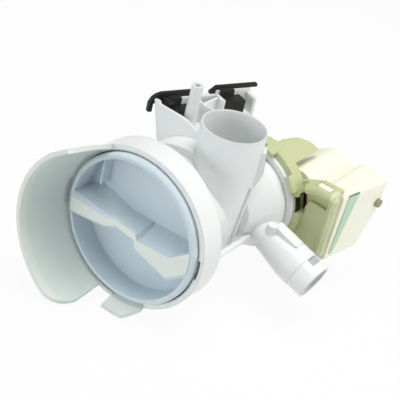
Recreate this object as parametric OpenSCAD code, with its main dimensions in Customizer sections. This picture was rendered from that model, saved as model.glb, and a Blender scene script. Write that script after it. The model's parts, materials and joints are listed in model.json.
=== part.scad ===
// Washing machine drain pump with a front filter, side inlet, outlet and synchronous motor.
// Origin: centre of the filter mouth's front rim. +Y runs back to the motor, +Z up the inlet spigot.

// Piece to draw, or all of them

/* [Filter mouth] */

// Outer radius of the mouth's collar
mouth_or = 45; // [40:0.5:52]
// Wall of the collar
mouth_wall = 3; // [2.5:0.1:4]
// Length of the collar along the pump
collar_len = 15; // [13:0.5:20]
// Thickness of the collar's back wall
collar_back = 2.2; // [1.8:0.1:3]

/* [Sump] */

// Outer radius of the filter chamber behind the collar
chamber_or = 30.5; // [28:0.5:33]
// Moulded wall of the chamber and volute
wall = 2.5; // [2:0.1:3.2]
// Inside end of the chamber, from the mouth
chamber_end = 56; // [54:0.5:60]

/* [Inlet] */

// Outer radius of the inlet spigot
inlet_or = 17.5; // [15:0.5:20]
// Wall of the inlet spigot
inlet_wall = 2.4; // [2.2:0.1:3]
// Distance of the inlet behind the mouth
inlet_y = 48.5; // [46:0.5:52]
// Height of the inlet's end above the pump axis
inlet_top = 53.5; // [50:0.5:60]
// Length of the inlet's end that takes the hose
inlet_hose = 9; // [7:0.5:12]
// Depth of the sump well under the pump axis
well_depth = 19; // [16:0.5:24]
// Outer radius of the well's bottom
well_r = 13; // [12:0.5:15]
// Height where the well starts to narrow
well_top = 24; // [20:0.5:28]

/* [Pump chamber] */

// Sideways distance from the filter axis to the pump axis
pump_x = 16.5; // [12:0.5:20]
// Inside radius of the pump chamber
volute_ir = 25.5; // [23:0.5:28]
// Inside radius at the front of the pump chamber's cone
volute_nose_ir = 15.5; // [13:0.5:18]
// Length of the cone
volute_cone = 13; // [10:0.5:15]
// Rear end of the pump chamber, from the mouth
flange_y = 81; // [79:0.5:86]
// Outer radius of the rear flange
flange_or = 31; // [28.5:0.1:31.5]
// Radius of the suction eye
eye_r = 8.5; // [6:0.5:10]

/* [Outlet] */

// Angle of the outlet below the horizontal
outlet_drop = 17; // [8:1:25]
// Distance of the outlet behind the mouth
outlet_y = 66; // [65:0.5:70]
// Distance from the pump axis to the outlet's end
outlet_reach = 64; // [58:1:80]
// Outer radius at the outlet's end
outlet_or = 11.2; // [10:0.1:13]
// Outer radius at the outlet's root
outlet_root_or = 8.6; // [8.4:0.1:10]
// Radius of the outlet's bore
outlet_ir = 6.6; // [6:0.1:7]
// Length of the straight end that takes the hose
outlet_straight = 18; // [14:0.5:20]
// Length of the plain part under the hose clip
outlet_hose = 8; // [6:0.5:10]

/* [Damper bracket] */

// Turn of the damper row from the sideways axis
row_turn = 67; // [60:1:75]
// Left end of the row, sideways
row_x = -40; // [-44:0.5:-36]
// Left end of the row, behind the mouth
row_y = 50; // [48:0.5:54]
// Height of the bracket's floor
row_z = 30; // [29:0.5:32]
// Height of the frame walls
frame_top = 42; // [40:0.5:46]
// How much higher the rear frame's outer wall is
rear_rise = 2.2; // [1:0.1:3]
// Start of the front damper frame along the row
front_at = 9.5; // [9:0.5:11]
// Length of the front damper frame
front_len = 20.5; // [18:0.5:22]
// Start of the rear damper frame along the row
rear_at = 42.5; // [41:0.5:45]
// Length of the rear damper frame
rear_len = 23; // [21:0.5:26]
// Width of both frames
frame_w = 9.5; // [8.5:0.1:10.5]
// Wall of the frames
frame_wall = 2; // [1.6:0.1:2.6]
// Reach of the dampers' lips outside the frames
lip_out = 1.5; // [1:0.1:3]
// Thickness of the front damper's lip
lip_front = 3; // [2:0.1:4]
// Thickness of the rear damper's lip
lip_rear = 2; // [1.4:0.1:3]
// Run of the rear lip past its frame
rear_over = 5; // [1:0.5:6]

/* [Pressure nozzle] */

// Nozzle position sideways
nozzle_x = -17.5; // [-19:0.5:-14]
// Nozzle position behind the mouth
nozzle_y = 60; // [56:0.5:64]
// Nozzle outer radius
nozzle_r = 3.3; // [2.5:0.1:4]
// Nozzle bore radius
nozzle_bore = 1.7; // [1.2:0.1:2]
// Height of the nozzle's end
nozzle_top = 58; // [52:0.5:66]
// Length of the nozzle's end that takes the hose
nozzle_hose = 12; // [8:0.5:14]

/* [Scoop] */

// Radius of the scoop's free edge
scoop_r = 52; // [50:0.5:56]
// Reach of the scoop in front of the mouth
scoop_reach = 31; // [24:0.5:36]
// Wall of the scoop
scoop_wall = 2.4; // [1.8:0.1:3]
// Upper end of the scoop, turn from the right
scoop_from = 120; // [110:1:130]
// Lower end of the scoop, turn from the right
scoop_to = 254; // [245:1:260]
// Radius of the scoop's lower corner
scoop_corner = 16; // [8:0.5:18]
// Reach of the scoop's foot
foot_reach = 9.2; // [5:0.1:11]

/* [Filter] */

// Gap between the cap and the mouth
cap_gap = 0.7; // [0.5:0.1:1]
// Wall of the cap's ring
cap_wall = 3; // [2.4:0.1:4]
// How far the cap stands out of the mouth
cap_out = 3.5; // [2:0.5:6]
// Thickness of the cap's floor
cap_floor = 2; // [1.5:0.1:3]
// How far the grip bar stands out of the mouth
grip_out = 4.2; // [3:0.1:7]
// Outer radius of the strainer cage
strainer_r = 25; // [22:0.5:26]
// Number of strainer bars
strainer_bars = 10; // [6:1:14]

/* [Impeller] */

// Radius of the impeller's back disc
impeller_r = 20; // [16:0.5:21]
// Number of vanes
vanes = 4; // [3:1:8]
// Thickness of a vane
vane_t = 2; // [1.4:0.1:3]
// Radius of the impeller's hub
hub_r = 8.6; // [8:0.1:10]

/* [Rotor] */

// Shaft radius
shaft_r = 2; // [1.5:0.05:2.5]
// Radial running clearance on the shaft
run_gap = 0.04; // [0.02:0.01:0.08]
// Radius of the rotor magnet
magnet_r = 10.4; // [9:0.1:11]
// Longest rotor magnet
magnet_max = 20; // [14:0.5:22]
// Radius of the rotor's plastic hub
rotor_hub_r = 5.4; // [5:0.1:7]

/* [Motor mount] */

// Outer radius of the bayonet ring
ring_or = 34.3; // [33:0.1:37]
// Outer radius of the rotor can
can_or = 13; // [12.6:0.1:14]
// Wall of the rotor can
can_wall = 1.3; // [1:0.1:1.6]
// Right end of the front plate
plate_x = 68; // [64:0.5:74]
// Top of the front plate
plate_top = 25.5; // [22:0.5:28]
// Bottom of the front plate
plate_bottom = -17.5; // [-22:0.5:-15]

/* [Motor] */

// Thickest lamination stack
stack_max = 14; // [10:0.5:15]
// Half height of the pole arms
core_half = 15; // [14.6:0.1:16.5]
// Half height of the coil legs
leg_out = 13; // [12:0.1:13.4]
// Height of a coil leg
leg_h = 7; // [5:0.1:7.5]
// Thickness of the copper on each former
winding_t = 2.2; // [1.4:0.1:2.5]

/* [Cover] */

// Radius of the cover's barrel over the rotor
barrel_r = 19.4; // [19:0.1:22]
// Right side of the cover, at its front
cover_x = 69; // [68.5:0.5:74]
// Lean of the cover's right side, outwards to the back
cover_flare = 8.5; // [0:0.5:10]
// Top of the cover between its two humps
cover_top = 19.3; // [19:0.1:22]
// Height of the humps above that
hump = 3.6; // [2:0.1:5]
// Bottom of the cover
cover_bottom = -22; // [-24:0.5:-18.5]
// Back of the cover
cover_back = 131.5; // [130:0.5:140]
// How much shorter the barrel is than the coil box
barrel_short = 14.5; // [8:0.5:16]
// Wall of the cover
cover_wall = 1.8; // [1.4:0.1:2.2]

/* [Terminals] */

// Width of a blade
blade_w = 6.3; // [4.8:0.1:6.4]
// Wall of the shroud round the blades
shroud_wall = 1.6; // [1.2:0.1:2]

/* [Hidden] */

$fn = 96;
// Gap left between pieces fixed to each other
fix = 0.1;
// Small overrun for cuts
e = 1;
// Step that ends the plain part of a hose end
step = 0.3;
mouth_ir = mouth_or - mouth_wall;
collar_in = collar_len - collar_back;
chamber_ir = chamber_or - wall;
inlet_ir = inlet_or - inlet_wall;
hose_z = inlet_top - inlet_hose;
web_turn = 29;
web_t = 8;
outlet_mid = outlet_reach - outlet_straight;
outlet_root = 11;
volute_front = chamber_end + wall;
volute_nose_or = volute_nose_ir + wall;
root_t = volute_nose_ir + 2 + outlet_root;
brace_x = nozzle_x - 3.3;
brace_y = row_y + 23.2;
brace_len = 14.8;
brace_t = 1.8;
row_start_x = row_x + front_at * cos(row_turn);
row_start_y = row_y + front_at * sin(row_turn);
row_end_x = row_x + (rear_at + rear_len) * cos(row_turn);
row_end_y = row_y + (rear_at + rear_len) * sin(row_turn);
volute_or = volute_ir + wall;
cone_end = volute_front + volute_cone;
cap_r = mouth_ir - cap_gap;
cap_ir = cap_r - cap_wall;
cap_back = collar_in - 0.5;
cap_face = cap_back - cap_floor;
foot_from = scoop_to + 12;
groove_r = mouth_or - 1.6;
lug_r = groove_r - 0.5;
groove_end = cap_back - 3.3;
groove_len = 6.6;
lug_len = 2;
lug_end = groove_end - 0.4;
spigot_y = flange_y - 3.5;
spigot_r = volute_ir - 0.2;
disc_end = flange_y + 4;
can_ir = can_or - can_wall;
plate_y = flange_y + 7;
plate_back = flange_y + 10.5;
tongue_x = plate_x - 12.7;
cover_y = plate_back + fix;
barrel_end = cover_back - barrel_short;
can_end = barrel_end - cover_wall - 0.7;
bush_y = flange_y - 1;
seal_y = flange_y - 3.2;
hub_front = disc_end + 1.3;
rear_seat = can_end - 7;
hub_rear = rear_seat - 1.5;
magnet_len = min(magnet_max, hub_rear - hub_front - 3);
magnet_y = hub_rear - 1.5 - magnet_len;
core_y = plate_back + 4.5;
stack = min(stack_max, barrel_end - cover_wall - core_y - 2);
core_x = cover_x - 3;
leg_x = pump_x + 19.5;
yoke_x = core_x - 10;
dog_y = flange_y - 15;
blade_y = core_y + stack / 2;
blade_x = [leg_x + 8, leg_x + 18];
shroud_half = blade_w / 2 + 1.25;
peg_y = (cover_back - cover_y) * 0.93;
peg_z = 6.7;

module ycyl(r, y0, y1, x = 0, z = 0) {
    translate([x, y0, z]) rotate([-90, 0, 0]) cylinder(r = r, h = y1 - y0);
}

module ycone(r1, r2, y0, y1, x = 0, z = 0) {
    translate([x, y0, z]) rotate([-90, 0, 0]) cylinder(r1 = r1, r2 = r2, h = y1 - y0);
}

module box(x0, x1, y0, y1, z0, z1) {
    translate([x0, y0, z0]) cube([x1 - x0, y1 - y0, z1 - z0]);
}

// Ring round an axis along Y: profile points are [radius, y], turned from a0 to a1 by the right edge upwards
module yturn(points, a0 = 0, a1 = 360, x = 0, z = 0) {
    translate([x, 0, z]) rotate([-90, 0, 0]) rotate([0, 0, -a1]) rotate_extrude(angle = a1 - a0)
        polygon(points);
}

module ysector(r0, r1, a0, a1, y0, y1, x = 0, z = 0) {
    yturn([[r0, y0], [r1, y0], [r1, y1], [r0, y1]], a0, a1, x, z);
}

// Frame on the outlet's axis: z along it from the pump axis, -x up
module outlet_at(t) {
    translate([pump_x, outlet_y, 0]) rotate([0, outlet_drop + 90, 0]) translate([0, 0, t]) children();
}

module row() {
    translate([row_x, row_y, 0]) rotate([0, 0, row_turn]) children();
}

module frame(at, len, rise) {
    row() {
        box(at, at + len, -frame_w, 0, row_z - 1, row_z + wall);
        box(at, at + len, -frame_wall, 0, row_z, frame_top + rise);
        box(at, at + frame_wall, -frame_w, 0, row_z, frame_top);
        box(at + len - frame_wall, at + len, -frame_w, 0, row_z, frame_top);
    }
}

// Wall in front of the front damper, its top edge falling towards the spigot
module front_wall() {
    end = pump_x - inlet_ir - 0.8;
    translate([0, row_y + frame_wall, 0]) rotate([90, 0, 0]) linear_extrude(frame_wall)
        polygon([[row_x + 17.5, 0], [end, 0], [end, frame_top - 7], [end - 8.5, frame_top - 3],
            [end - 12.5, frame_top - 1.2], [end - 18, frame_top - 0.4], [row_x + 8, frame_top],
            [row_x + 7, frame_top + 1.6], [row_x + 4, frame_top + 1.6]]);
}

module inlet_at(z) {
    translate([pump_x, inlet_y, z]) children();
}

module front_outer() {
    ycyl(mouth_or, 0, collar_len);
    ycyl(chamber_or, collar_in, volute_front);
    inlet_at(-well_depth) cylinder(r1 = well_r, r2 = inlet_or - step, h = well_depth + well_top);
    inlet_at(well_top) cylinder(r = inlet_or - step, h = hose_z - well_top);
    // web that stiffens the spigot's right side
    inlet_at(0) rotate([90, 0, web_turn]) translate([0, 0, -web_t / 2]) linear_extrude(web_t)
        polygon([[inlet_ir + 0.6, well_top - 3], [inlet_or, well_top - 1], [inlet_or + 3.1, well_top + 8],
            [inlet_or + 1.8, hose_z - 0.5], [inlet_ir + 0.6, hose_z - 0.5]]);
    inlet_at(hose_z) cylinder(r = inlet_or, h = inlet_hose);
    front_wall();
    // raised shoulder at the foot of that wall
    ysector(chamber_or - 2, chamber_or + 4, 78, 140, row_y - 14, row_y + 1);
    // shelf that carries the bracket
    translate([0, 0, row_z - wall]) linear_extrude(wall) polygon([[row_x + 10, row_y],
        [pump_x - inlet_or - 2, row_y],
        [pump_x - inlet_or + 3, row_y + 4], [-5, row_y + 26], [row_end_x + 4, row_end_y - 6],
        [row_end_x, row_end_y], [row_start_x, row_start_y]]);
    frame(front_at, front_len, 0);
    frame(rear_at, rear_len, rear_rise);
    // walls between the frames
    row() box(front_at + front_len - 1, rear_at + 1, -frame_wall, 0, row_z - 1, frame_top);
    box(brace_x, brace_x + brace_t, brace_y, brace_y + brace_len, row_z - 1, frame_top - 1);
    box(brace_x, brace_x + brace_len, brace_y, brace_y + brace_t, row_z - 1, frame_top - 1);
    translate([nozzle_x, nozzle_y, row_z - 1])
        cylinder(r = nozzle_r + step, h = nozzle_top - nozzle_hose - row_z + 1);
    translate([nozzle_x, nozzle_y, nozzle_top - nozzle_hose]) cylinder(r = nozzle_r, h = nozzle_hose);
}

module pump_housing() {
    color([0.90, 0.92, 0.91]) difference() {
        union() {
            difference() {
                front_outer();
                ycyl(mouth_ir, -e, collar_in);
                ycyl(chamber_ir, collar_in - e, chamber_end);
                inlet_at(wall - well_depth)
                    cylinder(r1 = well_r - 2, r2 = inlet_ir, h = well_depth + well_top - wall);
                inlet_at(well_top - 0.5) cylinder(r = inlet_ir, h = inlet_top);
            }
            ycone(volute_nose_or, volute_or, chamber_end, cone_end, pump_x);
            ycyl(volute_or, cone_end, flange_y - 4, pump_x);
            ycyl(volute_or - 1.2, flange_y - 4, flange_y - 3, pump_x);
            ycyl(flange_or, flange_y - 3, flange_y, pump_x);
            // outlet spigot
            outlet_at(root_t - outlet_root)
                cylinder(r1 = outlet_root_or - 4.5, r2 = outlet_root_or, h = outlet_root);
            outlet_at(root_t - e)
                cylinder(r1 = outlet_root_or - 0.25, r2 = outlet_or, h = outlet_mid - root_t + e);
            outlet_at(outlet_mid) cylinder(r = outlet_or, h = outlet_hose);
            outlet_at(outlet_mid) cylinder(r = outlet_or - step, h = outlet_straight);
            // small round boss on the outlet's root
            translate([pump_x + 30, outlet_y - 3, -8]) cylinder(r = 3.2, h = 10.5);
            // flat strip along the outlet
            outlet_at(0) box(-outlet_or - 0.3, -outlet_root_or + 2, -3.6, 3.6, 29, outlet_mid - 0.5);
            // rod along the well, to the outlet
            ycyl(1.7, collar_in + 1, outlet_y - 4, pump_x + inlet_or + 1.3, -10.5);
            // slanted rib down the well's right side
            translate([pump_x + well_r - 1.5, inlet_y + 0.5, -well_depth + 1]) rotate([0, 5.2, 0])
                cube([3, 2, well_depth + well_top]);
        }
        // pump chamber
        ycone(volute_nose_ir, volute_ir, volute_front, cone_end, pump_x);
        ycyl(volute_ir, cone_end, flange_y + e, pump_x);
        ycyl(eye_r, chamber_end - e, volute_front + e, pump_x);
        outlet_at(root_t - outlet_root - e)
            cylinder(r1 = outlet_root_or - 6.4, r2 = outlet_ir, h = outlet_root + e);
        outlet_at(root_t - 0.5) cylinder(r = outlet_ir, h = outlet_reach);
        outlet_at(outlet_mid) cylinder(r = outlet_or - 1.9, h = outlet_straight + e);
        // clip pocket near the outlet's end
        outlet_at(0) box(-outlet_or - e, -outlet_or + 1.3, -3.5, 3.5, outlet_reach - 9.4,
            outlet_reach - 5.4);
        translate([nozzle_x, nozzle_y, row_z - wall - e]) cylinder(r = nozzle_bore, h = nozzle_top);
        // groove and two entry slots for the cap's lugs
        ycyl(groove_r, groove_end - groove_len, groove_end);
        for (a = [-2, 178]) ysector(mouth_ir - 1, groove_r - 0.2, a - 8, a + 8, -e, 6);
    }
}

module scoop_profile(reach, edge_r) {
    mid = mouth_or + (edge_r - mouth_or) * 0.5;
    polygon([[mouth_or - scoop_wall, -fix], [mouth_or, -fix], [mid, -reach * 0.4], [edge_r, -reach],
        [edge_r - scoop_wall, -reach], [mid - scoop_wall, -reach * 0.4]]);
}

module scoop_arc(a0, a1, reach, edge_r) {
    rotate([-90, 0, 0]) rotate([0, 0, -a1]) rotate_extrude(angle = a1 - a0) scoop_profile(reach, edge_r);
}

// Outside of the scoop's rounded corner, cut along a radius
module corner_cut() {
    big = scoop_corner + 0.3;
    rotate([90, 0, 90]) translate([scoop_corner - scoop_reach, -scoop_corner, 40]) linear_extrude(24)
        polygon(concat([[-big - 4, big + 4]], [for (i = [0:6]) [-big * sin(i * 15), big * cos(i * 15)]]));
}

module drain_scoop() {
    color([0.84, 0.86, 0.87]) difference() {
        union() {
            scoop_arc(scoop_from, scoop_to, scoop_reach, scoop_r);
            // foot under the mouth, past the notch, and the strip that joins it
            scoop_arc(foot_from, foot_from + 26, foot_reach, scoop_r - 2.6);
            ysector(mouth_or - scoop_wall + 0.1, mouth_or - 0.1, scoop_to - 1, foot_from + 1, -2.5,
                -fix - 0.1);
        }
        rotate([0, -scoop_to, 0]) corner_cut();
        // slanted right end of the foot
        rotate([0, -foot_from - 15, 0]) rotate([90, 0, 90]) translate([0, 0, mouth_or - 5])
            linear_extrude(20)
            polygon([[-foot_reach - e, 0], [-1.5, 9.2], [-foot_reach - e, 14]]);
        // way out for the cap's lug
        ysector(mouth_ir - 3, groove_r + 0.2, 168, 188, -4, e);
    }
}

// Rubber damper: a block in the frame up to a share of its length, a neck over the wall and a skirt outside
module damper(at, len, share, seat, block) {
    inside = at + frame_wall + fix;
    room = len - 2 * frame_wall - 2 * fix;
    neck = at + len * 0.45;
    row() {
        box(inside, inside + room * share, -frame_w, -frame_wall - fix, row_z + wall + fix, block);
        box(inside, neck, -frame_wall - 2.6, -frame_wall - fix, frame_top - 5, seat + 1.2);
        box(inside, neck, -frame_wall - 1.7, 0, seat + fix, seat + 1.2);
        box(at, at + len + 1, fix, lip_out, frame_top - 5, seat + 1);
    }
}

// Lip on top of the outer wall, drawn along the row and upwards
module damper_lip(points) {
    row() translate([0, lip_out, 0]) rotate([90, 0, 0]) linear_extrude(lip_out + 1) polygon(points);
}

module damper_front() {
    end = front_at + front_len + 1;
    top = frame_top + lip_front;
    color([0.06, 0.06, 0.06]) {
        damper(front_at, front_len, 1, frame_top, frame_top - 4);
        // lip, its left end sloping down to a hook past the wall's end
        damper_lip([[0.8, frame_top - 8], [0.8, frame_top - 2.5], [2.6, top - 2.4], [5, top - 0.8], [8, top],
            [end, top], [end, frame_top + fix], [front_at - fix, frame_top + fix],
            [front_at - fix, frame_top - 3], [3.2, frame_top - 3], [3.2, frame_top - 8]]);
    }
}

module damper_rear() {
    end = rear_at + rear_len + rear_over;
    seat = frame_top + rear_rise;
    color([0.06, 0.06, 0.06]) {
        damper(rear_at, rear_len, 0.73, seat, frame_top - 1);
        // lip, its left end falling to a wedge over the lower wall
        damper_lip([[rear_at - 3.5, frame_top + fix], [rear_at - 3.2, frame_top + 1.2],
            [rear_at + 0.5, seat + lip_rear], [end, seat + lip_rear], [end, seat + fix],
            [rear_at - fix, seat + fix], [rear_at - fix, frame_top + fix]]);
    }
}

module filter_cap() {
    color([0.72, 0.77, 0.82]) difference() {
        union() {
            yturn([[cap_ir, -cap_out], [cap_r - 1.2, -cap_out], [cap_r, -cap_out + 1.2], [cap_r, cap_back],
                [cap_ir - e, cap_back], [cap_ir - e, cap_face], [cap_ir, cap_face]]);
            ycyl(cap_ir, cap_face, cap_back);
            // zigzag grip bar
            intersection() {
                translate([0, cap_face + 0.5, 0]) rotate([90, 0, 0])
                    linear_extrude(cap_face + 0.5 + grip_out)
                    polygon([[-cap_r, 4], [-15, 0.5], [-8.5, 3.5], [5, 0.8], [6.8, -2.6], [27.5, -0.6],
                        [cap_r, 11], [cap_r, -4.2], [27.6, -15.7], [6, -10], [4.8, -5.8], [-8, -4.2],
                        [-14.7, -8],
                        [-cap_r, -9.2]]);
                ycyl(cap_ir + 0.5, -grip_out - e, cap_back);
            }
            // small fin in the upper pocket
            box(-28.2, -27.2, 3.5, cap_face + 0.5, 11, 26.6);
            // lugs that turn in the mouth's groove
            for (a = [28, 208]) ysector(cap_ir + 1, lug_r, a - 7, a + 7, lug_end - lug_len, lug_end);
        }
        // seal groove
        ysector(cap_r - 1.8, cap_r + e, 0, 360, cap_back - 3.2, cap_back - 1);
    }
}

module filter_seal() {
    color([0.12, 0.12, 0.13]) rotate([-90, 0, 0]) rotate_extrude() translate([cap_r - 0.7, cap_back - 2.1])
        circle(r = 1, $fn = 32);
}

module filter_strainer() {
    color([0.80, 0.83, 0.86]) {
        ysector(strainer_r - 4, strainer_r, 0, 360, cap_back + 0.05, cap_back + 4);
        ysector(strainer_r - 4, strainer_r, 0, 360, chamber_end - 6, chamber_end - 3);
        for (i = [0:strainer_bars - 1]) rotate([0, i * 360 / strainer_bars, 0])
            box(strainer_r - 3.5, strainer_r - 0.5, cap_back + 3, chamber_end - 5, -1.6, 1.6);
    }
}

module impeller() {
    color([0.93, 0.93, 0.90]) difference() {
        union() {
            ycyl(hub_r, dog_y - 2.4, dog_y + 8.6, pump_x);
            ycyl(impeller_r, dog_y + 7, dog_y + 8.6, pump_x);
            for (i = [0:vanes - 1]) translate([pump_x, 0, 0]) rotate([0, i * 360 / vanes, 0])
                box(hub_r - 1, impeller_r - 1.5, dog_y, dog_y + 7.5, -vane_t / 2, vane_t / 2);
        }
        difference() {
            ycyl(hub_r - 1.9, dog_y - 3, dog_y + 5, pump_x);
            // stop for the drive dog
            ysector(4.3, hub_r, 140, 220, dog_y - 0.4, dog_y + 5, pump_x);
        }
        ycyl(shaft_r + run_gap, dog_y + 4, dog_y + 9, pump_x);
    }
}

module impeller_cap() {
    color([0.93, 0.93, 0.90]) ycyl(hub_r - 2, dog_y - 2.4, dog_y - 0.5, pump_x);
}

module drive_dog() {
    color([0.35, 0.36, 0.38]) difference() {
        union() {
            ycyl(3.9, dog_y, dog_y + 4.6, pump_x);
            box(pump_x + shaft_r + 0.5, pump_x + hub_r - 3.1, dog_y, dog_y + 4.6, -2.6, 2.6);
        }
        ycyl(shaft_r + 0.02, dog_y - e, dog_y + 6, pump_x);
    }
}

module shaft() {
    color([0.75, 0.76, 0.78]) ycyl(shaft_r, dog_y + 0.3, can_end - 3, pump_x);
}

module rotor_hub() {
    color([0.25, 0.26, 0.28]) ysector(shaft_r + 0.02, rotor_hub_r - 0.02, 0, 360, hub_front, hub_rear,
        pump_x);
}

module rotor_magnet() {
    color([0.20, 0.20, 0.22]) ysector(rotor_hub_r, magnet_r, 0, 360, magnet_y, magnet_y + magnet_len,
        pump_x);
}

module thrust_washers() {
    color([0.85, 0.80, 0.55]) {
        ysector(shaft_r + 0.02, 4.4, 0, 360, disc_end + 0.3, hub_front - 0.05, pump_x);
        ysector(shaft_r + 0.02, 4.4, 0, 360, hub_rear + 0.05, rear_seat - 0.3, pump_x);
    }
}

module front_bush() {
    color([0.72, 0.55, 0.30]) ysector(shaft_r + run_gap, 5, 0, 360, bush_y, disc_end, pump_x);
}

module rear_bush() {
    color([0.72, 0.55, 0.30]) ysector(shaft_r + run_gap, 5, 0, 360, rear_seat, rear_seat + 4, pump_x);
}

module rear_cushion() {
    color([0.10, 0.10, 0.10]) ysector(5 + fix / 2, 8, 0, 360, rear_seat, rear_seat + 4, pump_x);
}

module shaft_seal() {
    color([0.10, 0.10, 0.10]) ysector(shaft_r + 0.06, 6, 0, 360, seal_y, bush_y - 0.05, pump_x);
}

module mount_seal() {
    color([0.12, 0.12, 0.13]) translate([pump_x, 0, 0]) rotate([-90, 0, 0]) rotate_extrude()
        translate([volute_ir - 1.1, flange_y - 1.8]) circle(r = 1, $fn = 32);
}

// Curved sheet over the top of the motor, cut to a rounded outline in plan
module splash_wing() {
    intersection() {
        ysector(ring_or - 1.8, ring_or, 53, 85, flange_y + 6, flange_y + 36, pump_x);
        translate([pump_x, flange_y, 0]) linear_extrude(60) polygon([[6.4, 0], [6.6, 13], [9.6, 23.5],
            [15, 29.8], [21.7, 33.4], [40, 33.4], [40, 0]]);
    }
}

// Bar with a rounded front, its top at z = 0 and its right end at x = 0
module shelf_bar(len) {
    nose = 2.85;
    box(-len, 0, plate_y - 4, plate_back - 0.2, -2 * nose, 0);
    translate([-len, plate_y - 4, -nose]) rotate([0, 90, 0]) cylinder(r = nose - 0.05, h = len);
}

module motor_mount() {
    color([0.62, 0.66, 0.42]) difference() {
        union() {
            ycyl(spigot_r, spigot_y, flange_y + 0.5, pump_x);
            ycyl(ring_or, flange_y + 0.05, flange_y + 8, pump_x);
            ycyl(can_or, flange_y + 7, can_end, pump_x);
            // lugs of the bayonet
            for (a = [[30, 46], [70, 81]])
                ysector(flange_or + 0.5, ring_or + 0.3, a[0], a[1], flange_y - 4.5,
                flange_y + 3, pump_x);
            // front plate
            translate([0, plate_back, 0]) rotate([90, 0, 0]) linear_extrude(plate_back - plate_y)
                polygon([[pump_x + 14, plate_bottom], [plate_x, plate_bottom], [plate_x, plate_top - 1],
                    [plate_x - 1.5, plate_top], [plate_x - 11, plate_top - 0.2],
                    [plate_x - 15, plate_top - 1.5],
                    [plate_x - 24, plate_top - 5.5], [plate_x - 32, plate_top - 13],
                    [pump_x + 14, plate_top - 13]]);
            // rounded shelf along the plate's top, its left part falling
            translate([plate_x, 0, plate_top]) shelf_bar(12);
            translate([plate_x - 11.5, 0, plate_top]) rotate([0, -23, 0]) shelf_bar(8.5);
            // raised panel, and the bare rib at the plate's right edge
            translate([0, plate_y + 1, 0]) rotate([90, 0, 0]) linear_extrude(3)
                polygon([[plate_x - 26, plate_bottom], [plate_x - 5.5, plate_bottom],
                    [plate_x - 5.5, plate_top - 13.6], [plate_x - 15.2, plate_top - 13.1],
                    [plate_x - 23, plate_top - 32]]);
            box(plate_x - 4.6, plate_x, plate_y - 2, plate_y + 1, plate_bottom, plate_top - 5);
            splash_wing();
        }
        // seat of the flange and room behind the ring
        ysector(spigot_r - 0.05, flange_or + 0.4, 0, 360, flange_y - 5, flange_y + 0.05, pump_x);
        ysector(spigot_r - 2.1, spigot_r + 0.3, 0, 360, flange_y - 2.85, flange_y - 0.75, pump_x);
        // hollow ring behind the disc, open to the back
        ysector(can_or + 1.5, ring_or - 2.2, 50, 310, disc_end, flange_y + 9, pump_x);
        // window under the lug
        ysector(flange_or + 0.2, ring_or + e, 6, 24, flange_y - e, plate_back + e, pump_x);
        // the ring is open at the bottom
        ysector(flange_or + 0.15, ring_or + 2, 200, 318, flange_y - 5, flange_y + 9, pump_x);
        // rotor room
        ycyl(can_ir, disc_end, can_end - 7.5, pump_x);
        ycyl(8 + fix / 2, can_end - 8, can_end - 2, pump_x);
        ycyl(5 + fix / 2, bush_y, disc_end + e, pump_x);
        ycyl(6 + fix / 2, spigot_y - e, bush_y, pump_x);
        // window in the shelf for the cover's tongue, and the slot behind it
        box(tongue_x, plate_x - 4, plate_y - 5.3, plate_y, plate_top - 4.4, plate_top + e);
        box(tongue_x, plate_x - 4, plate_y - e, plate_back + e, plate_top - 4.4, plate_top - 1.9);
    }
}

module stator_core() {
    color([0.42, 0.44, 0.45]) difference() {
        union() {
            intersection() {
                ycyl(barrel_r - cover_wall - 0.4, core_y, core_y + stack, pump_x);
                box(pump_x - 30, pump_x + 30, core_y - e, core_y + stack + e, -core_half, core_half);
            }
            box(pump_x + 8, core_x, core_y, core_y + stack, -leg_out, leg_out);
        }
        ycyl(can_or + 0.3, core_y - e, core_y + stack + e, pump_x);
        box(leg_x, yoke_x, core_y - e, core_y + stack + e, leg_h - leg_out, leg_out - leg_h);
        box(pump_x, leg_x + e, core_y - e, core_y + stack + e, -1.5, 1.5);
        for (s = [-1, 1]) ycyl(2, core_y - e, core_y + stack + e, core_x - 4.5, s * 8);
    }
}

module core_rivets() {
    color([0.70, 0.70, 0.72]) for (s = [-1, 1]) {
        ycyl(1.95, core_y - 0.5, core_y + stack + 0.5, core_x - 4.5, s * 8);
        ycyl(3.2, core_y - 1.5, core_y - 0.05, core_x - 4.5, s * 8);
        ycyl(3.2, core_y + stack + 0.05, core_y + stack + 1.5, core_x - 4.5, s * 8);
    }
}

module coil_at(s) {
    translate([0, core_y + stack / 2, s * (leg_out - leg_h / 2)]) children();
}

module coil_block(x0, x1, grow) {
    box(x0, x1, -stack / 2 - grow, stack / 2 + grow, -leg_h / 2 - grow, leg_h / 2 + grow);
}

module coil_bobbins() {
    color([0.90, 0.90, 0.86]) for (s = [-1, 1]) coil_at(s) difference() {
        union() {
            coil_block(leg_x + 0.6, yoke_x - 0.6, 1.2);
            coil_block(leg_x + 0.6, leg_x + 1.8, 1.2 + winding_t);
            coil_block(yoke_x - 1.8, yoke_x - 0.6, 1.2 + winding_t);
        }
        coil_block(leg_x - e, yoke_x + e, fix);
    }
}

module windings() {
    color([0.72, 0.40, 0.20]) for (s = [-1, 1]) coil_at(s) difference() {
        coil_block(leg_x + 1.9, yoke_x - 1.9, 1.2 + winding_t - 0.3);
        coil_block(leg_x, yoke_x, 1.25);
    }
}

// Side outline of the coil box, with its lower back corner cut off, made smaller by a wall
module cover_side(x0, x1, front, t, top) {
    translate([x0, 0, 0]) rotate([90, 0, 90]) linear_extrude(x1 - x0) polygon([[front, cover_bottom + t],
        [cover_back - 13 - t * 0.5, cover_bottom + t], [cover_back - t, 4 - t * 0.7], [cover_back - t, top],
        [front, top]]);
}

// Frame on the leaning right side: x out of the face, y along it from the front
module on_side() {
    translate([cover_x, cover_y, 0]) rotate([0, 0, -cover_flare]) children();
}

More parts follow.
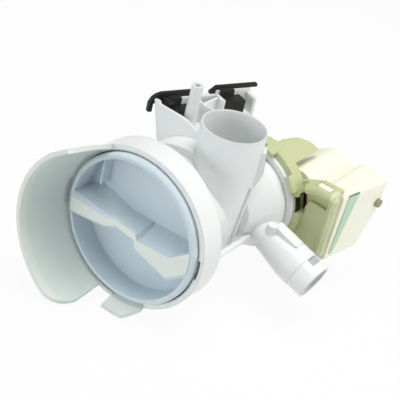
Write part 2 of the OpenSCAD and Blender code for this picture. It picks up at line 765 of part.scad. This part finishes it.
// Right side of the coil box, rounded above and below, made smaller by a wall
module cover_right(t) {
    low = 3;
    high = 4;
    on_side() translate([0, 70, 0]) rotate([90, 0, 0]) linear_extrude(90)
        polygon(concat([[-80, cover_bottom - 5]],
        [for (i = [0:6]) [sin(i * 15) * (low - t) - low, cover_bottom + low - cos(i * 15) * (low - t)]],
        [for (i = [0:4]) [cos(i * 22.5) * (high - t) - high,
            cover_top + hump - high + sin(i * 22.5) * (high - t)]],
        [[-80, cover_top + hump + 5]]));
}

// Room for the plug round the blades, grown by a wall
module shroud(grow, z0, z1) {
    side = shroud_half + grow;
    box(blade_x[0] - 3.4 - grow, blade_x[1] + 3.4 + grow, blade_y - side, blade_y + side, z0, z1);
}

module blades(thick, wide, z0, z1) {
    for (x = blade_x) box(x - thick / 2, x + thick / 2, blade_y - wide / 2, blade_y + wide / 2, z0, z1);
}

module coil_cover() {
    left = pump_x + 14;
    color([0.93, 0.92, 0.78]) difference() {
        union() {
            ycyl(barrel_r, cover_y, barrel_end, pump_x);
            intersection() {
                union() {
                    cover_side(left, cover_x + 12, cover_y, 0, cover_top);
                    // humps over the two coils
                    ycyl(12, cover_y, cover_back - 1, pump_x + 23.5, cover_top + hump - 12);
                    box(cover_x - 9, cover_x + 12, cover_y, cover_back - 1, cover_top - 4, cover_top + hump);
                    ycyl(3.9, cover_y, cover_back - 1, cover_x - 9, cover_top + hump - 3.9);
                }
                cover_right(0);
            }
            // shroud round the terminals
            shroud(shroud_wall, cover_bottom - 9, cover_bottom + 1);
            // tongue that snaps into the mount's shelf
            box(tongue_x + 0.3, plate_x - 4.3, plate_y - e, cover_y + 1, plate_top - 4.1, plate_top - 2.2);
            box(tongue_x + 0.3, plate_x - 4.3, plate_y - 5, plate_y - 0.3, plate_top - 4.1, plate_top - 0.3);
        }
        ycyl(barrel_r - cover_wall, cover_y - e, barrel_end - cover_wall, pump_x);
        intersection() {
            cover_side(left + cover_wall, cover_x + 12, cover_y - e, cover_wall, cover_top - cover_wall);
            cover_right(cover_wall);
        }
        // way from the barrel to the coils
        box(pump_x + 6, left + cover_wall + e, cover_y - e, barrel_end - cover_wall, -leg_out - 0.2,
            leg_out + 0.2);
        shroud(0, cover_bottom - 10, cover_bottom);
        // slots for the two blades
        blades(1.2, blade_w + 0.5, cover_bottom - e, cover_bottom + cover_wall + e);
        // hole for the peg
        on_side() translate([-4, peg_y, peg_z]) rotate([0, 90, 0]) cylinder(r = 2.5, h = 6);
    }
}

module cover_peg() {
    color([0.30, 0.32, 0.16]) on_side() translate([-cover_wall - 0.5, peg_y, peg_z]) rotate([0, 90, 0])
        cylinder(r = 2.45, h = cover_wall + 2.5);
}

module insulation_strip() {
    color([0.15, 0.62, 0.50]) on_side() translate([0.05, 0, 0]) rotate([90, 0, 90]) linear_extrude(0.6)
        polygon([[5, cover_top + 1.6], [13.8, cover_top + 1.6], [5, cover_bottom + 5],
            [2.2, cover_bottom + 5]]);
}

module terminals() {
    color([0.80, 0.78, 0.70]) blades(0.8, blade_w, cover_bottom - 7, cover_bottom + cover_wall + 0.8);
}

pump_housing();
drain_scoop();
damper_front();
damper_rear();
filter_cap();
filter_strainer();
filter_seal();
impeller();
impeller_cap();
drive_dog();
shaft();
rotor_hub();
rotor_magnet();
thrust_washers();
front_bush();
rear_bush();
rear_cushion();
shaft_seal();
mount_seal();
motor_mount();
stator_core();
core_rivets();
coil_bobbins();
windings();
coil_cover();
insulation_strip();
cover_peg();
terminals();
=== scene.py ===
import json
import math

import bmesh
import bpy
from mathutils import Matrix, Vector


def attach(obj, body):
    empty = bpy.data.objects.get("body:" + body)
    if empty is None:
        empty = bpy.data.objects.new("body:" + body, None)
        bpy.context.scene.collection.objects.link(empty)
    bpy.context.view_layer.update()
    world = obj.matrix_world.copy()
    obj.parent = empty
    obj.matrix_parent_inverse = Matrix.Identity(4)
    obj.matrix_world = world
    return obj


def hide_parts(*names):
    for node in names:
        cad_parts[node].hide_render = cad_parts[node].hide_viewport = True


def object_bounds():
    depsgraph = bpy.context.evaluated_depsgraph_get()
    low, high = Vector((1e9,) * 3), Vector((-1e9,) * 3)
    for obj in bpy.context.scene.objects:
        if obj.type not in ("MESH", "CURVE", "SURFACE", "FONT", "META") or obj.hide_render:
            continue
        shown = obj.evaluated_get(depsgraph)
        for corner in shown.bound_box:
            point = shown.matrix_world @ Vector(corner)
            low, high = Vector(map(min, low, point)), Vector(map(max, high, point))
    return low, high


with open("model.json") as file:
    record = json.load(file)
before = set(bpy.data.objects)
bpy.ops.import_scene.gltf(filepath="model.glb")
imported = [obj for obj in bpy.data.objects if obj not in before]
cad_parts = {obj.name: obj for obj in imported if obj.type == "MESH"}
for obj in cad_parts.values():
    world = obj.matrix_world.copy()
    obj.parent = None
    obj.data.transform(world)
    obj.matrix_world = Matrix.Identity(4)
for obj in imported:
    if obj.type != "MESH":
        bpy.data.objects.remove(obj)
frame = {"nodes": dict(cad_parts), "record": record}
cad_lo, cad_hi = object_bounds()
BODY_OF = {n: b for b, ns in frame["record"]["behaviour"]["bodies"].items() for n in ns}
SLOT_OF = {s["node"]: s["material_slot"] for s in frame["record"]["subparts"]}

# Places on the solids, as in part.scad, and the changes that are made there, in metres
TOUCH = 0.0002
INLET_AXIS = Vector((0.0165, 0.0485))
INLET_TOP = 0.0535
INLET_INSIDE = 0.0151
INLET_EDGE = 0.0167
INLET_OUTSIDE = 0.0175
HOSE_FOOT = 0.0445
HOSE_STEP = 0.0003
POCKET_FLOOR = 0.0103
GRIP_FRONT = -0.0042
GRIP_CHAMFER = 0.002
GRIP_CUT = 0.003
GRIP_DROP = 0.0013
GRIP_END_DROP = 0.0022
GRIP_LEFT_END = -0.03
GRIP_HALF = 0.036
GRIP_ROOT_LOW = -0.003
GRIP_ROOT_HIGH = 0.0088
GRIP_ROOT = (Vector((-0.0307, 0.0085)), Vector((-0.0062, 0.0022)), Vector((0.023, 0.0043)))
# A face is on the grip bar's lower side when the Z of its normal is below this
FACES_DOWN = -0.3

# Centre and size of the blocks that the eased copies gain
PANEL_FILLER = ((0.06295, 0.08693, -0.0028), (0.0015, 0.00196, 0.0292))
DAMPER_ROW_START = (-0.04, 0.05, 0)
DAMPER_ROW_TURN = math.radians(67)
CHEEK_END = ((0.00885, -0.005, 0.0373), (0.0011, 0.0106, 0.0108))
CHEEK_SIDE = ((0.01005, -0.00995, 0.0373), (0.0035, 0.0007, 0.0108))
CHEEK_TOP = ((0.01055, -0.0061, 0.0424), (0.0025, 0.0084, 0.0006))

# Places that get another colour; at some of them the colour is painted shade, at others painted light: each
# limit is (axis, where, side that is in)
# Painted shade: the clip's shallow pocket is painted grey on the white plastic
CLIP_POCKET_SHADE = [("X", 0.0716, 1), ("X", 0.0754, -1), ("Y", 0.0625, 1), ("Y", 0.0695, -1), ("Z", -0.012, 1)]
# Painted shade: the gap of the bayonet ring is painted near black on the olive plastic
BAYONET_GAP_SHADE = [("X", 0.044, 1), ("X", 0.048, -1), ("Z", 0.001, 1), ("Z", 0.015, -1), ("Y", 0.0825, 1),
               ("Y", 0.088, -1)]
# Painted light: the scoop's foot is painted lighter than the rest of the scoop
SCOOP_FOOT_LIGHT = [("Z", -0.0425, -1), ("Y", -0.010, 1)]
# Painted light: the scoop's front rim is painted lighter than the rest of the scoop
SCOOP_RIM_LIGHT = [("Y", -0.0268, -1)]
GRIP_FACE = [("Y", -0.0040, -1), ("R", 0.0388, -1)]
PLATE_RIB = [("X", 0.0655, 1), ("Y", 0.0866, -1)]
# Painted shade: the strip's upper end is painted dark
STRIP_END_SHADE = [("Z", 0.0202, 1)]
SHARP = 0.0003
GENTLE = 0.002

# Moulded plastic's clouds, waves and grain
CLOUD_SCALE = 38.0
FLOW_SCALE = 90.0
WAVE_SCALE = 60.0
WAVE_BUMP = 0.06
WAVE_DEPTH = 0.0006
GRAIN_SCALE = 900.0
GRAIN_BUMP = 0.12
GRAIN_DEPTH = 0.00012
PLASTIC_SPECULAR = 0.45
RUBBER_SPECULAR = 0.35
GLOW_RADIUS = (0.9, 1.0, 1.0)
GLOW_DEPTH = 0.003
FILLET_SAMPLES = 6

# Easing of edges
WELD = 1e-6
FLAT = math.radians(1.0)
EASE_FROM = math.radians(32.0)
EASE_SEGMENTS = 2
SHARP_FROM = math.radians(40.0)

# Camera, fitted to the mouth, the inlet and the flange in the photograph: the part's axes as it sees them
SEEN_X = Vector((0.784, -0.461, 0.413))
SEEN_Y = Vector((0.584, 0.329, -0.742))
SEEN_ORIGIN = Vector((-0.0344, -0.0146, -0.563))
SENSOR_MM = 36.0
LENS_MM = 99.0
CLIP_START = 0.01
CLIP_END = 20.0

# Studio
FLOOR_HALF = 4
FLOOR_GAP = 0.0005
FLOOR_COLOUR = (0.80, 0.80, 0.80, 1)
FLOOR_WHITE = 0.93
FLOOR_ROUGH = 0.9
FLOOR_SPECULAR = 0.1
WHITE_LIGHT = (1, 1, 1, 1)
WORLD_COLOUR = (0.93, 0.96, 1.0, 1)
WORLD_LIGHT = 0.30
WARM = (1.0, 0.99, 0.96)
COOL = (0.94, 0.98, 1.0)
LAMP_AIM = Vector((0.01, 0.05, 0.0))


class Nodes:
    """A material and short calls for its nodes."""

    def __init__(self, name):
        self.mat = bpy.data.materials.new(name)
        self.mat.use_nodes = True
        self.tree = self.mat.node_tree
        self.bsdf = self.tree.nodes["Principled BSDF"]
        self.at = self.add("ShaderNodeTexCoord").outputs["Object"]

    def add(self, kind, **values):
        node = self.tree.nodes.new(kind)
        for k, v in values.items():
            setattr(node, k, v)
        return node

    def link(self, a, b):
        self.tree.links.new(a, b)

    def shade(self, source, socket):
        """Lead a node's output to a socket of the shader."""
        self.link(source, self.bsdf.inputs[socket])

    def noise(self, scale, detail=3.0, rough=0.55, stretch=None):
        n = self.add("ShaderNodeTexNoise")
        n.inputs["Scale"].default_value = scale
        n.inputs["Detail"].default_value = detail
        n.inputs["Roughness"].default_value = rough
        if stretch:
            m = self.add("ShaderNodeMapping")
            m.inputs["Scale"].default_value = stretch
            self.link(self.at, m.inputs["Vector"])
            self.link(m.outputs[0], n.inputs["Vector"])
        else:
            self.link(self.at, n.inputs["Vector"])
        return n.outputs["Fac"]

    def ramp(self, fac, stops):
        r = self.add("ShaderNodeValToRGB")
        while len(r.color_ramp.elements) < len(stops):
            r.color_ramp.elements.new(0.5)
        for e, (place, colour) in zip(r.color_ramp.elements, stops):
            e.position = place
            e.color = (*colour, 1.0)
        self.link(fac, r.inputs["Fac"])
        return r.outputs["Color"]

    def span(self, fac, lo, hi):
        m = self.add("ShaderNodeMapRange")
        m.inputs["To Min"].default_value = lo
        m.inputs["To Max"].default_value = hi
        self.link(fac, m.inputs["Value"])
        return m.outputs["Result"]

    def along(self, axis):
        """The place on the part along X, Y or Z, or its distance R from the Y axis."""
        parts = self.add("ShaderNodeSeparateXYZ")
        self.link(self.at, parts.inputs[0])
        if axis == "R":
            return self.length(parts.outputs["X"], parts.outputs["Z"])
        return parts.outputs[axis]

    def length(self, a, b):
        squares = self.add("ShaderNodeMath", operation="MULTIPLY_ADD")
        self.link(a, squares.inputs[0])
        self.link(a, squares.inputs[1])
        self.link(self.times(b, b), squares.inputs[2])
        root = self.add("ShaderNodeMath", operation="SQRT")
        self.link(squares.outputs[0], root.inputs[0])
        return root.outputs[0]

    def mask(self, limits, soft):
        """1 where the place on the part passes every limit, 0 elsewhere."""
        whole = None
        for axis, limit, side in limits:
            step = self.add("ShaderNodeMapRange", interpolation_type="SMOOTHSTEP")
            step.inputs["From Min"].default_value = limit - soft * side
            step.inputs["From Max"].default_value = limit + soft * side
            self.link(self.along(axis), step.inputs["Value"])
            whole = self.times(whole, step.outputs["Result"])
        return whole

    def times(self, a, b):
        if a is None:
            return b
        node = self.add("ShaderNodeMath", operation="MULTIPLY")
        self.link(a, node.inputs[0])
        self.link(b, node.inputs[1])
        return node.outputs[0]

    def blend(self, fac, a, b):
        node = self.add("ShaderNodeMix", data_type="RGBA")
        self.link(fac, node.inputs["Factor"])
        self.link(a, node.inputs["A"])
        self.link(b, node.inputs["B"])
        return node.outputs["Result"]

    def fillet(self, radius):
        """Normals that run softly over the moulding's inner and outer corners."""
        node = self.add("ShaderNodeBevel", samples=FILLET_SAMPLES)
        node.inputs["Radius"].default_value = radius
        return node.outputs["Normal"]

    def bump(self, height, strength, distance, below=None):
        b = self.add("ShaderNodeBump")
        b.inputs["Strength"].default_value = strength
        b.inputs["Distance"].default_value = distance
        self.link(height, b.inputs["Height"])
        if below is not None:
            self.link(below, b.inputs["Normal"])
        return b.outputs["Normal"]


def tint(c, k):
    return tuple(min(1.0, v * k) for v in c)


def clouds(m, base, var):
    stops = [(0.3, tint(base, 1 - var)), (0.55, base), (0.8, tint(base, 1 + var * 0.6))]
    return m.ramp(m.noise(CLOUD_SCALE, detail=4.0), stops)


def plastic(name, base, rough, var=0.04, sss=0.0, fillet=0.0, patches=()):
    """Moulded plastic: cloudy colour, fine spark-eroded grain and faint flow waves in the gloss."""
    m = Nodes(name)
    colour = clouds(m, base, var)
    # Each patch paints another colour over a region of the part; several of these are painted shade and
    # painted light
    for limits, soft, other in patches:
        colour = m.blend(m.mask(limits, soft), colour, clouds(m, other, var))
    m.shade(colour, "Base Color")
    flow = m.noise(FLOW_SCALE, detail=5.0, rough=0.6)
    m.shade(m.span(flow, rough - 0.06, rough + 0.08), "Roughness")
    corners = m.fillet(fillet) if fillet else None
    waves = m.bump(m.noise(WAVE_SCALE, detail=2.0), WAVE_BUMP, WAVE_DEPTH, corners)
    grain = m.noise(GRAIN_SCALE, detail=2.0, rough=0.7)
    m.shade(m.bump(grain, GRAIN_BUMP, GRAIN_DEPTH, waves), "Normal")
    m.bsdf.inputs["Specular IOR Level"].default_value = PLASTIC_SPECULAR
    if sss:
        m.bsdf.inputs["Subsurface Weight"].default_value = sss
        m.bsdf.inputs["Subsurface Radius"].default_value = GLOW_RADIUS
        m.bsdf.inputs["Subsurface Scale"].default_value = GLOW_DEPTH
    return m.mat


def rubber(name, base, rough=0.62):
    """Soft black rubber: dusty bloom in patches, fine pitted skin."""
    m = Nodes(name)
    bloom = m.noise(55.0, detail=6.0, rough=0.65)
    stops = [(0.35, tint(base, 0.7)), (0.6, base), (0.85, tint(base, 2.2))]
    m.shade(m.ramp(bloom, stops), "Base Color")
    m.shade(m.span(m.noise(130.0, detail=4.0), rough - 0.12, rough + 0.14), "Roughness")
    pits = m.noise(1400.0, detail=3.0, rough=0.7)
    m.shade(m.bump(pits, strength=0.25, distance=0.0002), "Normal")
    m.bsdf.inputs["Specular IOR Level"].default_value = RUBBER_SPECULAR
    return m.mat


def metal(name, base, rough, stretch=(40.0, 900.0, 900.0), metallic=1.0):
    """Drawn or ground metal: fine lines along one way in gloss and bump."""
    m = Nodes(name)
    lines = m.noise(1.0, detail=3.0, rough=0.6, stretch=stretch)
    stops = [(0.3, tint(base, 0.86)), (0.7, tint(base, 1.06))]
    m.shade(m.ramp(lines, stops), "Base Color")
    m.shade(m.span(lines, rough - 0.08, rough + 0.1), "Roughness")
    m.shade(m.bump(lines, strength=0.15, distance=0.0001), "Normal")
    m.bsdf.inputs["Metallic"].default_value = metallic
    return m.mat


# The grey of the clip pocket is painted shade
WHITE = plastic("white_plastic", (0.84, 0.86, 0.855), 0.36, sss=0.10, var=0.02, fillet=0.0014,
                patches=[(CLIP_POCKET_SHADE, SHARP, (0.50, 0.52, 0.51))])
# The lighter rim and foot of the scoop are painted light
SCOOP = plastic("scoop_plastic", (0.68, 0.75, 0.71), 0.40, sss=0.10, var=0.02,
                patches=[(SCOOP_RIM_LIGHT, GENTLE, (0.76, 0.80, 0.75)), (SCOOP_FOOT_LIGHT, GENTLE, (0.76, 0.80, 0.78))])
CAP = plastic("cap_plastic", (0.63, 0.72, 0.77), 0.38, var=0.03, sss=0.06,
              patches=[(GRIP_FACE, SHARP, (0.78, 0.82, 0.76))])
# The near-black bayonet gap is painted shade
OLIVE = plastic("olive_plastic", (0.58, 0.62, 0.35), 0.40, var=0.04, fillet=0.0008,
                patches=[(PLATE_RIB, SHARP, (0.74, 0.75, 0.52)), (BAYONET_GAP_SHADE, SHARP, (0.03, 0.03, 0.025))])
CREAM = plastic("cream_plastic", (0.95, 0.955, 0.80), 0.42, var=0.015, sss=0.08)
# The dark upper end of the strip is painted shade
TEAL = plastic("teal_film", (0.52, 0.72, 0.52), 0.32, var=0.08,
               patches=[(STRIP_END_SHADE, SHARP, (0.16, 0.26, 0.21))])
PEG = plastic("peg_plastic", (0.32, 0.31, 0.15), 0.45, var=0.06)
IVORY = plastic("impeller_plastic", (0.72, 0.72, 0.67), 0.42)
BOBBIN = plastic("bobbin_plastic", (0.76, 0.76, 0.70), 0.45)
BLACK = rubber("black_rubber", (0.016, 0.017, 0.013))
SEAL = rubber("seal_rubber", (0.02, 0.02, 0.02), 0.5)
STEEL = metal("shaft_steel", (0.62, 0.63, 0.64), 0.28)
BRONZE = metal("bearing_bronze", (0.55, 0.36, 0.16), 0.42)
COPPER = metal("copper", (0.50, 0.20, 0.08), 0.35, (900.0, 60.0, 60.0))
CORE = metal("core_steel", (0.30, 0.32, 0.33), 0.5, (30.0, 1600.0, 30.0), 0.7)
MAGNET = metal("magnet", (0.10, 0.10, 0.11), 0.55, (300.0, 300.0, 300.0), 0.4)
TIN = metal("terminal_tin", (0.66, 0.65, 0.60), 0.3)
BY_SLOT = {"white_plastic": WHITE, "scoop_plastic": SCOOP, "cap_plastic": CAP, "olive_plastic": OLIVE,
           "cream_plastic": CREAM, "peg_plastic": PEG, "teal_film": TEAL, "impeller_plastic": IVORY,
           "bobbin_plastic": BOBBIN, "black_rubber": BLACK, "seal_rubber": SEAL, "shaft_steel": STEEL,
           "bearing_bronze": BRONZE, "copper": COPPER, "core_steel": CORE, "magnet": MAGNET,
           "terminal_tin": TIN}


def dress(obj, mat):
    obj.data.materials.clear()
    obj.data.materials.append(mat)


def smooth(mesh):
    for p in mesh.polygons:
        p.use_smooth = True
    mesh.set_sharp_from_angle(angle=SHARP_FROM)


def around_inlet(v):
    return Vector((v.co.x, v.co.y)) - INLET_AXIS


def at_radius(v, radius):
    """Move a point of the inlet in or out, to a radius."""
    v.co.x, v.co.y = INLET_AXIS + around_inlet(v).normalized() * radius


def shape_inlet(bm):
    """The inlet's wall runs out to a thin edge, and the step under its hose end is smoothed away."""
    step = []
    for v in bm.verts:
        out = around_inlet(v).length
        if v.co.z > INLET_TOP - TOUCH and out < INLET_INSIDE + TOUCH:
            at_radius(v, INLET_EDGE)
        if abs(v.co.z - HOSE_FOOT) < TOUCH and abs(out - INLET_OUTSIDE) < HOSE_STEP + TOUCH:
            at_radius(v, INLET_OUTSIDE)
            step.append(v)
    # The two rings of points don't line up, so an open seam of almost no width stays between them
    flat = [f for f in bm.faces if all(v in step for v in f.verts)]
    bmesh.ops.delete(bm, geom=flat, context="FACES_ONLY")
    bmesh.ops.remove_doubles(bm, verts=step, dist=TOUCH / 10)


def grip_root(x):
    """Height of the grip bar's upper root along the pocket's floor."""
    left, mid, right = GRIP_ROOT
    a, b = (left, mid) if x < mid.x else (mid, right)
    share = min(1.0, max(0.0, (x - a.x) / (b.x - a.x)))
    return a.lerp(b, share).y


def on_pocket_floor(v):
    return abs(v.co.y - POCKET_FLOOR) < TOUCH


def slope_grip(bm):
    """The grip bar's upper side slopes to its root, which starts with a corner on the left."""
    root = [v for v in bm.verts if on_pocket_floor(v) and abs(v.co.x) < GRIP_HALF
            and GRIP_ROOT_LOW < v.co.z < GRIP_ROOT_HIGH]
    first = min(root, key=lambda v: v.co.x)
    for e in list(first.link_edges):
        other = e.other_vert(first)
        if on_pocket_floor(other) and other.co.x < -GRIP_HALF:
            corner = bmesh.utils.edge_split(e, first, 0.5)[1]
            corner.co.x = GRIP_ROOT[0].x
            root.append(corner)
    for v in root:
        v.co.z = grip_root(v.co.x)


def shape_grip(bm):
    """The grip bar's front is cut to a slope along its lower edge, and its left half is a little lower."""
    slope_grip(bm)
    whole = list(bm.verts) + list(bm.edges) + list(bm.faces)
    cut_from = (0, GRIP_FRONT + GRIP_CHAMFER, 0)
    bmesh.ops.bisect_plane(bm, geom=whole, plane_co=cut_from, plane_no=(0, 1, 0))
    bm.normal_update()
    front = [v for v in bm.verts if v.co.y < GRIP_FRONT + TOUCH]
    low = [v for v in front if min(f.normal.z for f in v.link_faces) < FACES_DOWN]
    for v in front:
        if v.co.x < GRIP_LEFT_END:
            v.co.z -= GRIP_END_DROP
        if v in low:
            v.co.z += GRIP_CUT
        elif v.co.x < 0:
            v.co.z -= GRIP_DROP


def add_block(bm, place, centre, size):
    spot = place @ Matrix.Translation(centre) @ Matrix.Diagonal((*size, 1))
    bmesh.ops.create_cube(bm, size=1.0, matrix=spot)


def fill_panel(bm):
    """The panel runs on to the rib beside it."""
    add_block(bm, Matrix.Identity(4), *PANEL_FILLER)


def add_cheek(bm):
    """The rubber also wraps round its frame's left end."""
    row = Matrix.Translation(DAMPER_ROW_START) @ Matrix.Rotation(DAMPER_ROW_TURN, 4, "Z")
    for block in (CHEEK_END, CHEEK_SIDE, CHEEK_TOP):
        add_block(bm, row, *block)


def eased(node, width, shape=None):
    """The node's own shape in place of the solid. The clamp keeps its eased edges far narrower than width."""
    mesh = frame["nodes"][node].data.copy()
    bm = bmesh.new()
    bm.from_mesh(mesh)
    bmesh.ops.remove_doubles(bm, verts=bm.verts, dist=WELD)
    bmesh.ops.dissolve_limit(bm, angle_limit=FLAT, verts=bm.verts, edges=bm.edges)
    if shape:
        bm.normal_update()
        shape(bm)
    bm.to_mesh(mesh)
    bm.free()
    obj = bpy.data.objects.new(node + "_eased", mesh)
    bpy.context.scene.collection.objects.link(obj)
    bev = obj.modifiers.new("ease", "BEVEL")
    bev.width = width
    bev.segments = EASE_SEGMENTS
    bev.limit_method = "ANGLE"
    bev.angle_limit = EASE_FROM
    bev.use_clamp_overlap = True
    even = obj.modifiers.new("even", "WEIGHTED_NORMAL")
    even.keep_sharp = True
    dress(obj, BY_SLOT[SLOT_OF[node]])
    smooth(mesh)
    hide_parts(node)
    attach(obj, BODY_OF[node])


def camera():
    """The camera stands where the photograph's did."""
    x = SEEN_X.normalized()
    y = (SEEN_Y - x * SEEN_Y.dot(x)).normalized()
    turn = Matrix((x, y, x.cross(y))).transposed()
    cam = bpy.data.objects.new("camera", bpy.data.cameras.new("camera"))
    bpy.context.scene.collection.objects.link(cam)
    cam.matrix_world = (Matrix.Translation(SEEN_ORIGIN) @ turn.to_4x4()).inverted()
    cam.data.sensor_width = SENSOR_MM
    cam.data.lens = LENS_MM
    cam.data.clip_start = CLIP_START
    cam.data.clip_end = CLIP_END
    bpy.context.scene.camera = cam


def white_to_camera(m):
    """Share of white that the floor shows to the camera and in reflections, so that its shadow stays."""
    path = m.add("ShaderNodeLightPath")
    seen = m.add("ShaderNodeMath", operation="MAXIMUM")
    m.link(path.outputs["Is Camera Ray"], seen.inputs[0])
    m.link(path.outputs["Is Glossy Ray"], seen.inputs[1])
    part = m.add("ShaderNodeMath", operation="MULTIPLY")
    m.link(seen.outputs[0], part.inputs[0])
    part.inputs[1].default_value = FLOOR_WHITE
    return part.outputs[0]


def floor_material():
    m = Nodes("floor_white")
    m.bsdf.inputs["Base Color"].default_value = FLOOR_COLOUR
    m.bsdf.inputs["Roughness"].default_value = FLOOR_ROUGH
    m.bsdf.inputs["Specular IOR Level"].default_value = FLOOR_SPECULAR
    glow = m.add("ShaderNodeEmission")
    glow.inputs["Color"].default_value = WHITE_LIGHT
    mix = m.add("ShaderNodeMixShader")
    m.link(white_to_camera(m), mix.inputs["Fac"])
    m.link(m.bsdf.outputs[0], mix.inputs[1])
    m.link(glow.outputs[0], mix.inputs[2])
    m.link(mix.outputs[0], m.tree.nodes["Material Output"].inputs["Surface"])
    return m.mat


def floor():
    mesh = bpy.data.meshes.new("floor")
    z = cad_lo.z - FLOOR_GAP
    r = FLOOR_HALF
    mesh.from_pydata([(-r, -r, z), (r, -r, z), (r, r, z), (-r, r, z)], [], [(0, 1, 2, 3)])
    obj = bpy.data.objects.new("floor", mesh)
    bpy.context.scene.collection.objects.link(obj)
    dress(obj, floor_material())


def surroundings():
    """A soft pale world, which the camera sees as white."""
    world = bpy.data.worlds.new("studio")
    bpy.context.scene.world = world
    world.use_nodes = True
    t = world.node_tree
    bg = t.nodes["Background"]
    bg.inputs["Color"].default_value = WORLD_COLOUR
    bg.inputs["Strength"].default_value = WORLD_LIGHT
    white = t.nodes.new("ShaderNodeBackground")
    white.inputs["Color"].default_value = WHITE_LIGHT
    path = t.nodes.new("ShaderNodeLightPath")
    mix = t.nodes.new("ShaderNodeMixShader")
    t.links.new(path.outputs["Is Camera Ray"], mix.inputs["Fac"])
    t.links.new(bg.outputs[0], mix.inputs[1])
    t.links.new(white.outputs[0], mix.inputs[2])
    t.links.new(mix.outputs[0], t.nodes["World Output"].inputs["Surface"])


def lamp(name, where, size, watts, colour):
    data = bpy.data.lights.new(name, "AREA")
    data.shape = "RECTANGLE"
    data.size, data.size_y = size
    data.energy = watts
    data.color = colour
    obj = bpy.data.objects.new(name, data)
    bpy.context.scene.collection.objects.link(obj)
    obj.location = where
    obj.rotation_euler = (LAMP_AIM - Vector(where)).to_track_quat("-Z", "Y").to_euler()


for name, node in frame["nodes"].items():
    dress(node, BY_SLOT[SLOT_OF[name]])
eased("damper_front", 0.0008, add_cheek)
eased("damper_rear", 0.0008)
eased("motor_mount", 0.0005, fill_panel)
eased("coil_cover", 0.0008)
eased("filter_cap", 0.0005, shape_grip)
eased("drain_scoop", 0.0008)
eased("pump_housing", 0.0004, shape_inlet)
camera()
floor()
surroundings()
lamp("key", (0.10, 0.02, 0.85), (0.6, 0.6), 5.8, WARM)
lamp("side", (0.80, 0.36, 0.30), (0.6, 0.6), 2.7, WARM)
lamp("fill", (-0.38, -0.83, 0.22), (0.8, 0.3), 3.0, COOL)
bpy.context.scene.view_settings.view_transform = "Standard"
